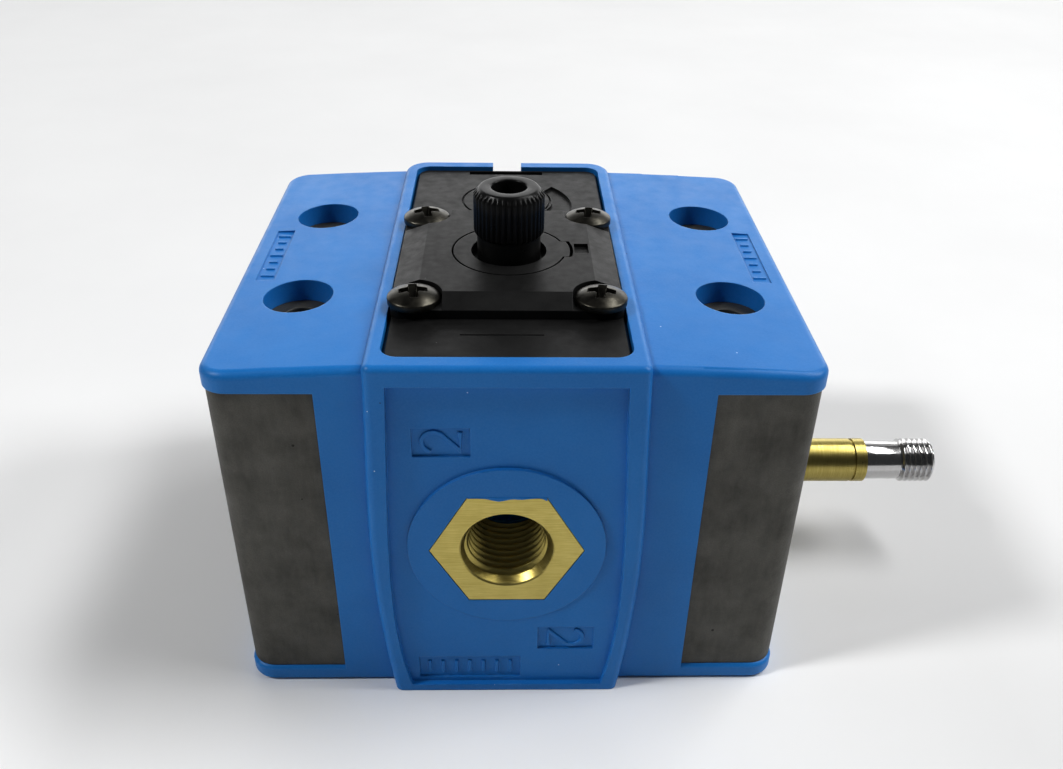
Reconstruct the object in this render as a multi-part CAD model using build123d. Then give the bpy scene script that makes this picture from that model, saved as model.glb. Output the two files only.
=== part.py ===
from build123d import *
import math
import os

# Pilot-operated 3/2-way pneumatic poppet valve, without its coil.
# Frame: origin at the centre of the four mounting holes on the bottom face,
# +X towards the armature tube, +Y to the rear (supply port), +Z up. Millimetres.

# ---- driving dimensions: moulded housing --------------------------------------
WIDTH = 85.8
DEPTH = 73.0
FLANGE_T = 3.0
WING_UNDERSIDE = 55.9
WING_CROWN = 60.2
WING_TOP_OUTER = 58.8
EDGE_R = 1.2
FRONT_CORNER_R = 1.2      # upright corners of the tongue
REAR_CORNER_R = 4.2
RIM_EDGE_R = 0.9
FRONT_MARKS = [(-14.4, -6.3, 45.9, 50.7), (3.7, 12.5, 8.4, 13.1), (-15.1, 1.0, 2.1, 6.7)]
REAR_MARKS = [(3.0, 11.1, 45.9, 50.7), (-13.9, -5.1, 8.4, 13.1), (-5.0, 10.0, 2.1, 6.7)]
MARK_DEPTH = 0.3
CORNER_R = 4.0
CORE_X = -1.2            # the tongue, ports and pilot head sit off the middle
WEB_HALF = 27.3          # half width of the blue web between the end blocks
RIM_TOP = 61.0
TONGUE_Y_TOP = 38.13
TONGUE_Y_BOTTOM = 38.8
PANEL_Y_TOP = 36.9
PANEL_Y_BOTTOM = 37.88
PANEL_Z = (1.3, 58.0)
TONGUE_SIDE = [(17.9, 0.0), (19.1, 10.0), (20.1, 27.0), (19.7, 47.0), (19.2, 61.0)]
PANEL_SIDE = [(15.2, 1.3), (16.75, 10.0), (17.4, 25.0), (17.1, 38.0), (16.2, 58.0)]
REAR_PANEL_INSET = 3.0    # the rear panel is narrower, clear of the rounder corners
POCKET_HALF = (17.1, 35.2)
POCKET_FLOOR = 56.0
POCKET_CORNER_R = 2.5
RIM_NOTCH = (-4.0, 1.4, 58.0)

# ---- end blocks ---------------------------------------------------------------
BLOCK_OUTER_X = 42.7
BLOCK_HALF_Y = 36.0
HOLE_X = 32.5
HOLE_Y = 15.0
HOLE_R = 2.75            # M5 clearance
COUNTERBORE_R = 5.2
WING_MARK = (38.7, 1.45, 9.25)  # middle in X, half width, half length
WING_MARK_FLOOR = 58.78
BLOCK_POCKET = (10.0, 19.0, 24.0)
LEFT_POCKET_Z = 6.0
RIGHT_POCKET_Z = 28.5
TUBE_HOLE_R = 4.65

# ---- ports --------------------------------------------------------------------
PORT_Z = 29.1
G14_MINOR_R = 5.72
G14_MOUTH_R = 6.95
PORT_WAY_R = 5.45
HEX_FLATS = 20.0
BOSS_R = 14.7
BOSS_Y = 37.75
INSERT_LENGTH = 13.0
MOUTH_DEPTH = 1.2
EXHAUST_R = 4.5
EXHAUST_Z = 41.5
EXHAUST_SEAL = (5.9, 0.7)  # ring radius, wire radius
SUPPLY_DUCT_R = 3.5
SUPPLY_DUCT_Y = 17.0
SUPPLY_DUCT_Z = 12.5

# ---- valve bore, from the bottom up -------------------------------------------
PLUG_BORE_R = 13.0
PLUG_TOP = 7.0
BORE_R = 11.5
SUPPLY_SEAT = (19.0, 22.0)
EXHAUST_SEAT = (34.0, 37.0)
SEAT_OPENING_R = 7.0
GUIDE = (45.0, 49.0)
PISTON_BORE_R = 12.4
PISTON = (51.9, 54.9)
STEM_R = 2.5
SUPPLY_POPPET_Z = 15.0
STEM_TRAVEL = 2.5
POPPET_R = 9.0
DISC_SEAL_T = 1.6
SLIP = 0.02
RUNNING = 0.06
SPRING_TURNS = 4.0
RETAINER_BORE_R = 10.2
RETAINER_WINDOW_R = 3.4
PISTON_GROOVE = (52.7, 54.2)

# ---- pilot head ---------------------------------------------------------------
GASKET_T = 0.8
PLATE_TOP = 60.4
COVER_BASE_TOP = 61.8
COVER_TOP = 63.2
COVER_HALF = (16.8, 17.2)
COVER_Y = -6.6
CREST_X = 12.9            # raised middle of the cover
CREST_Y = (-14.0, 15.5)
INDEX_WINDOW = (9.2, 11.4, -7.7, -4.3)
SCREW_HALF = (13.5, 14.3)
SCREW_Y = -6.8
SCREW_HEAD_R = 3.8
SCREW_HEAD_H = 2.1
SCREW_RIM_H = 0.6
SCREW_HOLE_R = 2.2
SCREW_SHANK = (2.0, 47.0)
THROTTLE = (-1.0, -6.6)
RING = (-1.4, 20.2)
NEEDLE_SEAT_R = 3.2
DISC_R = 8.6
DISC_GAP = 0.3
DISC_T = 1.2
DISC_HOLE_R = 5.85
LUG_REACH = 9.5
LUG_GAP = 0.5
LUG_HALF = (2.9, 2.6)     # half width at the root and at the tip
LUG_SHIFT = 0.4
KNOB_R = 5.4
KNOB_NECK_R = 4.9
KNOB_COLLAR_R = 6.5
KNOB_LOW = 66.2
KNOB_TOP = 73.6
KNOB_RING_R = 4.4
KNOB_TOP_BEVEL = 1.05
KNOB_LOW_BEVEL = 0.6
KNOB_SOCKET = (2.65, 69.0)
SPINDLE_R = 2.0
SPINDLE_CLEARANCE = 0.05
NEEDLE_TIP_Z = 57.2
NEEDLE_ROOT_Z = 58.3
NEEDLE_SEAT_TOP = 58.8
PLATE_SLOT = (-8.4, 5.4, 32.7, 34.2)
PLATE_LINE = (-7.8, 3.9, -28.45, -28.15)
RING_R = (7.6, 8.0)

# ---- solenoid pilot -----------------------------------------------------------
TUBE_Z = 17.5
TUBE_R = 4.0
TUBE_ROOT_R = 4.5        # thicker root, inside the end block
TUBE_ROOT_END = 42.8
TUBE_FLANGE = (9.0, 2.5)
TUBE_GROOVE = (62.4, 63.0, 3.7)
TUBE_BORE_R = 3.4
TUBE_END_X = 65.0
POLE_END_X = 71.6
THREAD_END_X = 77.7
POLE_FACE_X = 54.0
ARMATURE_TRAVEL = 1.0
POLE_NECK_R = 3.55
THREAD_CHAMFER = 0.6
ARMATURE_END_X = 27.8
ARMATURE_BORE = (2.4, 48.5)
ARMATURE_SEAL = (1.7, 29.6)
NOZZLE_X = (20.0, 26.0)
NOZZLE_R = 3.0
NOZZLE_FACE_X = 27.6
DUCT_R = 1.0
DUCT_Y = -5.0
DUCT_X = 13.6

BOTTOM = (Align.CENTER, Align.CENTER, Align.MIN)


def save(name, shape):
    shape.label = name
    export_step(shape, f"parts/{name}.step")


def post(radius, z_low, z_high, x=CORE_X, y=0.0):
    """Upright cylinder between two heights."""
    return Pos(x, y, z_low) * Cylinder(radius, z_high - z_low, align=BOTTOM)


def cone(r_low, r_high, z_low, z_high, x=CORE_X, y=0.0):
    return Pos(x, y, z_low) * Cone(r_low, r_high, z_high - z_low, align=BOTTOM)


def bar_x(radius, x_low, x_high, y=0.0, z=TUBE_Z):
    """Cylinder along X between two stations."""
    return Pos(x_low, y, z) * Rot(0, 90, 0) * Cylinder(radius, x_high - x_low, align=BOTTOM)


def cone_x(r_low, r_high, x_low, x_high, y=0.0, z=TUBE_Z):
    return Pos(x_low, y, z) * Rot(0, 90, 0) * Cone(r_low, r_high, x_high - x_low, align=BOTTOM)


def bar_y(radius, y_low, y_high, x=CORE_X, z=PORT_Z):
    """Cylinder along Y between two stations."""
    return Pos(x, y_high, z) * Rot(90, 0, 0) * Cylinder(radius, y_high - y_low, align=BOTTOM)


def cone_y(r_low, r_high, y_low, y_high, x=CORE_X, z=PORT_Z):
    return Pos(x, y_low, z) * Rot(-90, 0, 0) * Cone(r_low, r_high, y_high - y_low, align=BOTTOM)


def block(x_low, x_high, y_low, y_high, z_low, z_high):
    size = (x_high - x_low, y_high - y_low, z_high - z_low)
    centre = ((x_low + x_high) / 2, (y_low + y_high) / 2, (z_low + z_high) / 2)
    return Pos(*centre) * Box(*size)


def rounded_plate(half_x, half_y, radius, z_low, z_high, x=CORE_X, y=0.0):
    outline = RectangleRounded(2 * half_x, 2 * half_y, radius)
    return Pos(x, y, z_low) * extrude(outline, z_high - z_low)


def o_ring(radius, wire_r, z, x=CORE_X, y=0.0):
    return Pos(x, y, z) * Torus(radius, wire_r)


def hole_places():
    return [(sx * HOLE_X, sy * HOLE_Y) for sx in (-1, 1) for sy in (-1, 1)]


def screw_places():
    return [
        (CORE_X + sx * SCREW_HALF[0], SCREW_Y + sy * SCREW_HALF[1])
        for sx in (-1, 1)
        for sy in (-1, 1)
    ]


# ---- moulded housing ----------------------------------------------------------
def side_outline(side):
    """Closed outline in the XZ plane with bowed sides, mirrored about CORE_X."""
    right = [(CORE_X + half, z) for half, z in side]
    left = [(CORE_X - half, z) for half, z in side]
    edges = Spline(right) + Spline(left)
    edges += Line(right[0], left[0])
    edges += Line(right[-1], left[-1])
    return make_face(Plane.XZ * edges)


def drafted_column(side, y_bottom, y_top, z_bottom, z_top):
    """Bowed outline extruded in Y, with its front and rear leaning inwards."""
    lean = Polyline(
        (-y_bottom, z_bottom),
        (y_bottom, z_bottom),
        (y_top, z_top),
        (-y_top, z_top),
        close=True,
    )
    column = extrude(side_outline(side), DEPTH, both=True)
    return column & extrude(make_face(Plane.YZ * lean), WIDTH, both=True)


def panel_recess(facing):
    """Shallow drafted recess in the front (-1) or rear (+1) of the tongue."""
    inset = REAR_PANEL_INSET if facing > 0 else 0
    side = [(half - inset, z) for half, z in PANEL_SIDE]
    tool = extrude(side_outline(side), DEPTH, both=True)
    inner = drafted_column(
        [(half + 1, z) for half, z in side],
        PANEL_Y_BOTTOM,
        PANEL_Y_TOP,
        *PANEL_Z,
    )
    half_space = block(-WIDTH, WIDTH, *sorted((0, facing * DEPTH)), 0, RIM_TOP)
    return (tool & half_space) - inner


def tongue():
    """Central column that stands proud at the front and the rear."""
    column = drafted_column(TONGUE_SIDE, TONGUE_Y_BOTTOM, TONGUE_Y_TOP, 0, RIM_TOP)
    for facing, radius in ((-1, FRONT_CORNER_R), (1, REAR_CORNER_R)):
        corners = [
            edge
            for edge in column.edges()
            if edge.bounding_box().size.Z > RIM_TOP - 5 and facing * edge.center().Y > 5
        ]
        column = fillet(corners, radius)
    column = fillet(column.faces().sort_by(Axis.Z)[-1].edges(), RIM_EDGE_R)
    for facing in (-1, 1):
        column -= panel_recess(facing)
    return column


def wings():
    """Crowned top flange."""
    left = (-WIDTH / 2, WING_TOP_OUTER)
    right = (WIDTH / 2, WING_TOP_OUTER)
    crown = ThreePointArc(left, (0, WING_CROWN), right)
    sides = Polyline(right, (right[0], WING_UNDERSIDE), (left[0], WING_UNDERSIDE), left)
    slab = extrude(make_face(Plane.XZ * (crown + sides)), DEPTH / 2, both=True)
    slab = fillet(slab.edges().filter_by(Axis.Z), CORNER_R)
    top_edges = slab.faces().sort_by(Axis.Z)[-1].edges()
    return fillet(top_edges, EDGE_R)


def bottom_flange():
    slab = rounded_plate(WIDTH / 2, DEPTH / 2, CORNER_R, 0, FLANGE_T, x=0)
    lower = slab.faces().sort_by(Axis.Z)[0].edges()
    upper = slab.faces().sort_by(Axis.Z)[-1].edges()
    return fillet(lower + upper, 0.8)


def air_passages():
    """Port passages, the supply duct, the exhaust way and the pilot ducts."""
    insert_end = BOSS_Y - INSERT_LENGTH
    ways = bar_y(PORT_WAY_R, -insert_end, 0)
    ways += bar_y(PORT_WAY_R, SUPPLY_DUCT_Y, insert_end)
    ways += post(SUPPLY_DUCT_R, SUPPLY_DUCT_Z, PORT_Z, y=SUPPLY_DUCT_Y)
    ways += bar_y(SUPPLY_DUCT_R, 0, SUPPLY_DUCT_Y, z=SUPPLY_DUCT_Z)
    ways += bar_x(EXHAUST_R, -WEB_HALF, CORE_X, z=EXHAUST_Z)
    ways += bar_x(DUCT_R, CORE_X, NOZZLE_X[0])
    ways += bar_x(DUCT_R, DUCT_X, WEB_HALF, y=DUCT_Y)
    ways += post(DUCT_R, TUBE_Z, POCKET_FLOOR, x=DUCT_X, y=DUCT_Y)
    return ways


def valve_bore():
    """Stepped vertical bore for the poppets, the guide and the piston."""
    bore = post(PLUG_BORE_R, -1, PLUG_TOP)
    bore += post(PLUG_BORE_R + 1.0, 1.2, 2.4)
    bore += post(BORE_R, PLUG_TOP, GUIDE[1])
    bore += post(PISTON_BORE_R, GUIDE[1], POCKET_FLOOR)
    return bore


def hex_prism(flats, y_low, y_high):
    outline = RegularPolygon(flats / 2, 6, major_radius=False)
    return Pos(CORE_X, y_high, PORT_Z) * Rot(90, 0, 0) * extrude(outline, y_high - y_low)


def mark_pockets(facing):
    """Shallow pockets for the port numbers and the material mark on one panel."""
    lean = (PANEL_Y_BOTTOM - PANEL_Y_TOP) / (PANEL_Z[1] - PANEL_Z[0])
    pockets = []
    for x_low, x_high, z_low, z_high in FRONT_MARKS if facing < 0 else REAR_MARKS:
        y_floor = PANEL_Y_BOTTOM - lean * (z_low + z_high) / 2 - MARK_DEPTH
        y_span = sorted((facing * y_floor, facing * (y_floor + 2)))
        pockets.append(block(x_low, x_high, *y_span, z_low, z_high))
    return pockets


def housing():
    body = wings() + bottom_flange() + tongue()
    body += block(-WEB_HALF, WEB_HALF, -DEPTH / 2, DEPTH / 2, 1.0, WING_UNDERSIDE + 1.0)
    body += bar_y(BOSS_R, -BOSS_Y, BOSS_Y, z=PORT_Z + 0.3)
    body -= rounded_plate(*POCKET_HALF, POCKET_CORNER_R, POCKET_FLOOR, RIM_TOP + 1)
    notch_left, notch_right, notch_floor = RIM_NOTCH
    body -= block(notch_left, notch_right, POCKET_HALF[1] - 1, DEPTH, notch_floor, RIM_TOP + 1)
    body -= valve_bore()
    body -= air_passages()
    for facing in (-1, 1):
        hexagon = sorted((facing * (BOSS_Y - INSERT_LENGTH), facing * (BOSS_Y + 1)))
        body -= hex_prism(HEX_FLATS, *hexagon)
        for pocket in mark_pockets(facing):
            body -= pocket
    body -= bar_x(6.4, NOZZLE_X[1], WEB_HALF)
    body -= bar_x(NOZZLE_R, *NOZZLE_X)
    body -= bar_x(7.2, -WEB_HALF, -WEB_HALF + 2 * EXHAUST_SEAL[1], z=EXHAUST_Z)
    for x, y in hole_places():
        body -= post(HOLE_R, -1, FLANGE_T + 1, x, y)
        body -= post(COUNTERBORE_R, WING_UNDERSIDE - 1, RIM_TOP + 1, x, y)
    for x, y in screw_places():
        body -= post(2.05, 46.0, POCKET_FLOOR + 1, x, y)
    x_mid, half_x, half_y = WING_MARK
    for x in (-x_mid, x_mid):
        body -= block(x - half_x, x + half_x, -half_y, half_y, WING_MARK_FLOOR, RIM_TOP)
    return body


# ---- end blocks ---------------------------------------------------------------
def end_block(side):
    """Cored metal block between the flanges, left (-1) or right (+1)."""
    middle = side * (WEB_HALF + BLOCK_OUTER_X) / 2
    slab = block(
        middle - (BLOCK_OUTER_X - WEB_HALF) / 2,
        middle + (BLOCK_OUTER_X - WEB_HALF) / 2,
        -BLOCK_HALF_Y,
        BLOCK_HALF_Y,
        FLANGE_T,
        WING_UNDERSIDE,
    )
    outer = slab.edges().filter_by(Axis.Z).sort_by(Axis.X)
    outer = outer[-2:] if side > 0 else outer[:2]
    slab = fillet(outer, CORNER_R)
    for x, y in hole_places():
        slab -= post(HOLE_R, 0, RIM_TOP, x, y)
    return slab


def end_block_left():
    body = end_block(-1)
    depth, width, height = BLOCK_POCKET
    z_span = (LEFT_POCKET_Z, LEFT_POCKET_Z + height)
    body -= block(-WEB_HALF - depth, -WEB_HALF + 1, -width / 2, width / 2, *z_span)
    body -= bar_x(EXHAUST_R, -BLOCK_OUTER_X, -WEB_HALF, z=EXHAUST_Z)
    body -= bar_x(G14_MINOR_R, -BLOCK_OUTER_X, -WEB_HALF - 2.0, z=EXHAUST_Z)
    mouth = (-BLOCK_OUTER_X, -BLOCK_OUTER_X + MOUTH_DEPTH)
    body -= cone_x(G14_MOUTH_R, G14_MINOR_R, *mouth, z=EXHAUST_Z)
    return body


def end_block_right():
    body = end_block(1)
    depth, width, height = BLOCK_POCKET
    z_span = (RIGHT_POCKET_Z, RIGHT_POCKET_Z + height)
    body -= block(WEB_HALF - 1, WEB_HALF + depth, -width / 2, width / 2, *z_span)
    body -= bar_x(TUBE_HOLE_R, WEB_HALF - 1, BLOCK_OUTER_X + 1)
    flange_r, flange_t = TUBE_FLANGE
    body -= bar_x(flange_r + SLIP, WEB_HALF - 1, WEB_HALF + flange_t)
    return body


# ---- ports --------------------------------------------------------------------
def port_insert(side):
    """Brass hex insert with a G1/4 thread, drawn as its minor-diameter wall."""
    low, high = sorted((side * BOSS_Y, side * (BOSS_Y - INSERT_LENGTH)))
    body = hex_prism(HEX_FLATS, low, high)
    body -= bar_y(G14_MINOR_R, low, high)
    if side < 0:
        body -= cone_y(G14_MOUTH_R, G14_MINOR_R, low, low + MOUTH_DEPTH)
    else:
        body -= cone_y(G14_MINOR_R, G14_MOUTH_R, high - MOUTH_DEPTH, high)
    return body


def exhaust_seal():
    place = Pos(-WEB_HALF + EXHAUST_SEAL[1], 0, EXHAUST_Z) * Rot(0, 90, 0)
    return place * Torus(*EXHAUST_SEAL)


# ---- poppet valve -------------------------------------------------------------
def bottom_plug():
    body = post(PLUG_BORE_R - 0.05, 2.4, PLUG_TOP)
    body += post(3.6, PLUG_TOP, 9.0)
    body -= post(PLUG_BORE_R, 3.8, 6.0) - post(PLUG_BORE_R - 2.0, 3.8, 6.0)
    body -= post(6.0, 2.0, 3.2)
    return body


def plug_seal():
    return o_ring(PLUG_BORE_R - 1.0, 0.98, 4.9)


def plug_circlip():
    ring = post(PLUG_BORE_R + 0.9, 1.25, 2.35) - post(PLUG_BORE_R - 1.8, 1.2, 2.4)
    ring -= block(CORE_X - 3, CORE_X + 3, -20, -8, 1, 3)
    for side in (-1, 1):
        ear = post(1.7, 1.25, 2.35, CORE_X + side * 4.6, -(PLUG_BORE_R - 2.2))
        ring += ear - post(0.8, 1.2, 2.4, CORE_X + side * 4.6, -(PLUG_BORE_R - 2.2))
    return ring


def return_spring():
    height = SUPPLY_POPPET_Z - PLUG_TOP
    wire = 0.5
    path = Helix(pitch=(height - 2 * wire) / SPRING_TURNS, height=height - 2 * wire, radius=5.2)
    coil = sweep(Plane(path @ 0, z_dir=path % 0) * Circle(wire), path=path, is_frenet=True)
    return Pos(CORE_X, 0, PLUG_TOP + wire) * coil


def seat_ring(span):
    body = post(BORE_R - SLIP, *span)
    return body - post(SEAT_OPENING_R, span[0] - 1, span[1] + 1)


def seat_retainer():
    """Slotted sleeve that holds the two seats apart in the port 2 chamber."""
    span = (SUPPLY_SEAT[1], EXHAUST_SEAT[0])
    body = post(BORE_R - SLIP, *span) - post(RETAINER_BORE_R, 0, RIM_TOP)
    body -= bar_y(PORT_WAY_R - 0.3, -BORE_R - 1, 0)
    for turn in (60, 120, 180, 240, 300):
        window = bar_y(RETAINER_WINDOW_R, -BORE_R - 1, -5, x=0, z=sum(span) / 2)
        body -= Pos(CORE_X, 0, 0) * Rot(0, 0, turn) * window
    return body


def supply_poppet():
    body = post(POPPET_R, SUPPLY_POPPET_Z, SUPPLY_SEAT[0] - DISC_SEAL_T)
    return body - post(STEM_R, 10, 20)


def supply_disc_seal():
    low = SUPPLY_SEAT[0] - DISC_SEAL_T
    return post(POPPET_R, low, SUPPLY_SEAT[0]) - post(STEM_R, 10, 20)


def exhaust_poppet():
    low = EXHAUST_SEAT[1] + STEM_TRAVEL
    body = post(POPPET_R, low + DISC_SEAL_T, low + 3.8)
    return body - post(STEM_R, 10, 60)


def exhaust_disc_seal():
    low = EXHAUST_SEAT[1] + STEM_TRAVEL
    return post(POPPET_R, low, low + DISC_SEAL_T) - post(STEM_R, 10, 60)


def valve_stem():
    body = post(STEM_R, 12.6, PISTON[1])
    return chamfer(body.edges(), 0.3)


def stem_guide():
    body = post(BORE_R - SLIP, *GUIDE)
    body -= post(STEM_R + RUNNING, GUIDE[0] - 1, GUIDE[1] + 1)
    body -= post(4.5, GUIDE[1] - 1.9, GUIDE[1] + 1)
    return body


def stem_seal():
    return o_ring(3.52, 0.92, GUIDE[1] - 0.96)


def piston():
    body = post(PISTON_BORE_R - RUNNING, *PISTON) - post(STEM_R, 40, 60)
    groove = post(PISTON_BORE_R, *PISTON_GROOVE) - post(PISTON_BORE_R - 1.4, *PISTON_GROOVE)
    return body - groove


def piston_seal():
    return o_ring(PISTON_BORE_R - 0.72, 0.68, sum(PISTON_GROOVE) / 2)


# ---- pilot head ---------------------------------------------------------------
def pilot_gasket():
    body = rounded_plate(16.6, 34.7, 2.0, POCKET_FLOOR, POCKET_FLOOR + GASKET_T)
    body -= post(PISTON_BORE_R, 50, 60)
    body -= post(1.2, 50, 60, DUCT_X, DUCT_Y)
    for x, y in screw_places():
        body -= post(SCREW_HOLE_R, 50, 60, x, y)
    return body


def pilot_base_plate():
    low = POCKET_FLOOR + GASKET_T
    body = rounded_plate(16.9, 35.0, 2.3, low, PLATE_TOP)
    body = chamfer(body.faces().sort_by(Axis.Z)[-1].edges(), 0.35)
    body -= post(DUCT_R, low, 58.0, DUCT_X, DUCT_Y)
    ring = post(RING_R[1], PLATE_TOP - 0.35, PLATE_TOP + 1, *RING)
    body -= ring - post(RING_R[0], low, PLATE_TOP + 1, *RING)
    body -= block(*PLATE_SLOT, PLATE_TOP - 1.5, PLATE_TOP + 1)
    body -= block(*PLATE_LINE, PLATE_TOP - 0.12, PLATE_TOP + 1)
    body -= lobe()
    body -= post(NEEDLE_SEAT_R, low - 1, NEEDLE_SEAT_TOP, *THROTTLE)
    body -= post(3.9, NEEDLE_SEAT_TOP, PLATE_TOP + 1, *THROTTLE)
    for x, y in screw_places():
        body -= post(SCREW_HOLE_R, low - 1, PLATE_TOP + 1, x, y)
    return body


def lobe():
    """Shallow curved pocket with a pointed tip behind the cover."""
    x, y = RING
    inner_low, inner_high = (x + 6.5, y - 5.0), (x + 6.7, y + 4.2)
    tip, outer_low = (x + 8.3, y + 6.5), (x + 11.3, y - 5.0)
    outline = Line(inner_high, tip) + ThreePointArc(tip, (x + 10.9, y + 2.0), outer_low)
    outline += Line(outer_low, inner_low)
    outline += ThreePointArc(inner_low, (x + 8.2, y), inner_high)
    return Pos(0, 0, PLATE_TOP - 0.45) * extrude(make_face(outline), 2)


def rectangle_face(x_low, x_high, y_low, y_high, z):
    corners = [(x_low, y_low), (x_high, y_low), (x_high, y_high), (x_low, y_high)]
    return Pos(CORE_X, COVER_Y, z) * make_face(Polyline(*corners, close=True))


def pilot_cover():
    """Raised cover with sloping margins and open corners for the screw heads."""
    half_x, half_y = COVER_HALF
    body = rounded_plate(half_x, half_y, 1.5, PLATE_TOP, COVER_BASE_TOP, y=COVER_Y)
    foot = rectangle_face(-half_x, half_x, -half_y, half_y, COVER_BASE_TOP)
    crest = rectangle_face(-CREST_X, CREST_X, *CREST_Y, COVER_TOP)
    body += loft([foot, crest])
    reach = 8.0
    for x, y in screw_places():
        body -= post(SCREW_HEAD_R + 0.35, COVER_BASE_TOP, COVER_TOP + 1, x, y)
        out_x = math.copysign(reach / 2, x - CORE_X)
        out_y = math.copysign(reach / 2, y - COVER_Y)
        opening = Box(reach, 2 * reach + 0.3, 4) + Box(2 * reach + 0.3, reach, 4)
        body -= Pos(x + out_x, y + out_y, COVER_BASE_TOP + 2) * opening
        body -= post(SCREW_HOLE_R, PLATE_TOP - 1, COVER_TOP, x, y)
    body -= post(DISC_R + DISC_GAP, COVER_TOP - DISC_T, COVER_TOP + 1, *THROTTLE)
    body -= post(7.0, PLATE_TOP - 1, COVER_TOP, *THROTTLE)
    body -= disc_lug(LUG_REACH + LUG_GAP, 0.1)
    x_low, x_high, y_low, y_high = INDEX_WINDOW
    return body - block(x_low, x_high, y_low, y_high, COVER_TOP - 0.5, COVER_TOP + 1)


def disc_lug(reach, side_gap):
    """Pointer on the right of the index disc, ended by an arc about its centre."""
    x, y = THROTTLE
    root, tip = (half + side_gap for half in LUG_HALF)
    y += LUG_SHIFT
    wedge = Polyline(
        (x + 5, y - root), (x + 12, y - tip), (x + 12, y + tip), (x + 5, y + root), close=True
    )
    solid = Pos(0, 0, COVER_TOP - DISC_T) * extrude(make_face(wedge), DISC_T)
    return solid & post(reach, COVER_TOP - DISC_T, COVER_TOP, *THROTTLE)


def index_disc():
    body = post(DISC_R, COVER_TOP - DISC_T, COVER_TOP, *THROTTLE)
    body += disc_lug(LUG_REACH, 0.0)
    return body - post(DISC_HOLE_R, PLATE_TOP, COVER_TOP + 1, *THROTTLE)


def knob():
    """Knurled cap with a captive collar under the index disc."""
    bevel_low = KNOB_TOP - KNOB_TOP_BEVEL
    body = post(KNOB_R, KNOB_LOW + KNOB_LOW_BEVEL, bevel_low, *THROTTLE)
    body += cone(KNOB_R, KNOB_RING_R, bevel_low, KNOB_TOP, *THROTTLE)
    body += cone(KNOB_NECK_R, KNOB_R, KNOB_LOW, KNOB_LOW + KNOB_LOW_BEVEL, *THROTTLE)
    body += post(KNOB_NECK_R, 60.5, KNOB_LOW, *THROTTLE)
    body += post(KNOB_COLLAR_R, 60.5, 61.9, *THROTTLE)
    socket_r, socket_floor = KNOB_SOCKET
    body -= post(socket_r, socket_floor, KNOB_TOP + 1, *THROTTLE)
    return body - post(SPINDLE_R + SPINDLE_CLEARANCE, 60, 70, *THROTTLE)


def needle_spindle():
    body = post(SPINDLE_R, NEEDLE_ROOT_Z, 68.2, *THROTTLE)
    return body + cone(0.45, 1.15, NEEDLE_TIP_Z, NEEDLE_ROOT_Z, *THROTTLE)


def needle_seat():
    low = POCKET_FLOOR + GASKET_T
    body = post(NEEDLE_SEAT_R, low, NEEDLE_SEAT_TOP, *THROTTLE)
    body -= post(0.6, low - 1, NEEDLE_ROOT_Z, *THROTTLE)
    body -= cone(0.6, 1.3, NEEDLE_TIP_Z, NEEDLE_ROOT_Z - 0.1, *THROTTLE)
    return body - post(SPINDLE_R + SPINDLE_CLEARANCE, NEEDLE_ROOT_Z - 0.1, 60, *THROTTLE)


def spindle_seal():
    return o_ring(2.95, 0.8, 59.62, *THROTTLE)


def screw_head_profile():
    """Half section of a domed head: a low rim under a crowned top."""
    rim = (SCREW_HEAD_R, SCREW_RIM_H)
    crown = ThreePointArc(rim, (0.62 * SCREW_HEAD_R, 0.77 * SCREW_HEAD_H), (0, SCREW_HEAD_H))
    sides = Polyline((0, SCREW_HEAD_H), (0, 0), (SCREW_HEAD_R, 0), rim)
    return make_face(Plane.XZ * (crown + sides))


def cover_screws():
    """Four M4 domed-head screws with cross recesses."""
    shank_r, shank_low = SCREW_SHANK
    head = revolve(screw_head_profile(), Axis.Z)
    recess = Box(3.8, 0.9, 2.6) + Box(0.9, 3.8, 2.6)
    group = []
    for x, y in screw_places():
        body = post(shank_r, shank_low, COVER_BASE_TOP, x, y)
        body += Pos(x, y, COVER_BASE_TOP) * head
        group.append(body - Pos(x, y, COVER_BASE_TOP + SCREW_HEAD_H) * recess)
    return Compound(children=group)


# ---- solenoid pilot -----------------------------------------------------------
def armature_tube():
    flange_r, flange_t = TUBE_FLANGE
    groove_low, groove_high, groove_r = TUBE_GROOVE
    body = bar_x(TUBE_R, WEB_HALF, TUBE_END_X)
    body += bar_x(TUBE_ROOT_R, WEB_HALF, TUBE_ROOT_END)
    body += bar_x(flange_r, WEB_HALF, WEB_HALF + flange_t)
    body -= bar_x(TUBE_R, groove_low, groove_high) - bar_x(groove_r, groove_low, groove_high)
    body -= bar_x(TUBE_BORE_R, WEB_HALF - 1, TUBE_END_X + 1)
    seal_room = bar_x(8.3, WEB_HALF - 1, WEB_HALF + 1.1)
    return body - (seal_room - bar_x(6.9, WEB_HALF - 1, WEB_HALF + 2))


def tube_seal():
    return Pos(WEB_HALF + 0.55, 0, TUBE_Z) * Rot(0, 90, 0) * Torus(7.6, 0.54)


def pole_piece():
    """Fixed core with an M8 x 1 end, drawn as its major-diameter wall."""
    body = bar_x(TUBE_BORE_R, POLE_FACE_X, TUBE_END_X)
    body += bar_x(POLE_NECK_R, TUBE_END_X, POLE_END_X)
    body += bar_x(TUBE_R, POLE_END_X, THREAD_END_X - THREAD_CHAMFER)
    tip_r = TUBE_R - THREAD_CHAMFER
    return body + cone_x(TUBE_R, tip_r, THREAD_END_X - THREAD_CHAMFER, THREAD_END_X)


def armature():
    seal_r, seal_end = ARMATURE_SEAL
    spring_r, spring_floor = ARMATURE_BORE
    body = bar_x(TUBE_BORE_R - 0.07, ARMATURE_END_X, POLE_FACE_X - ARMATURE_TRAVEL)
    body -= bar_x(seal_r, ARMATURE_END_X - 1, seal_end)
    return body - bar_x(spring_r, spring_floor, POLE_FACE_X)


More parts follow.
